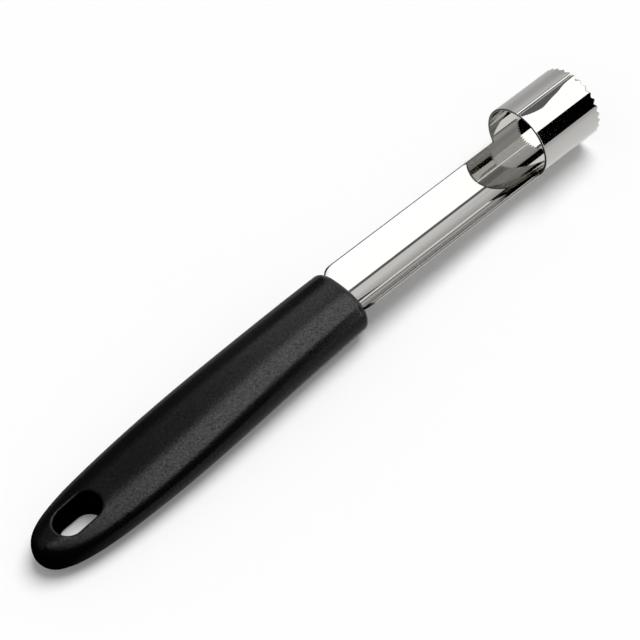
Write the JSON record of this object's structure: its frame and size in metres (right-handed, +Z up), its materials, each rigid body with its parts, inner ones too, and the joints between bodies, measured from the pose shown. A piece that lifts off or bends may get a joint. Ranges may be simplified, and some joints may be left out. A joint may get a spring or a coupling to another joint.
{
  "type": "apple corer",
  "caption": "Hand apple corer: a stainless tube with a scalloped cutting edge on a trough shank, in a black moulded handle with a hanging slot.",
  "frame": {"origin": "middle of the footprint, at the height of the handle's underside, with the corer lying as on a table", "axes": "+X along the tool towards the cutting edge, +Z up, out of the open side of the trough and through the tube's seam"},
  "size_m": [0.1982, 0.0232, 0.0238],
  "materials": {
    "steel": "polished stainless sheet",
    "plastic": "matte black with a fine moulded grain"
  },
  "bodies": {
    "root": {"blade": "steel", "handle": "plastic"}
  },
  "joints": []
}
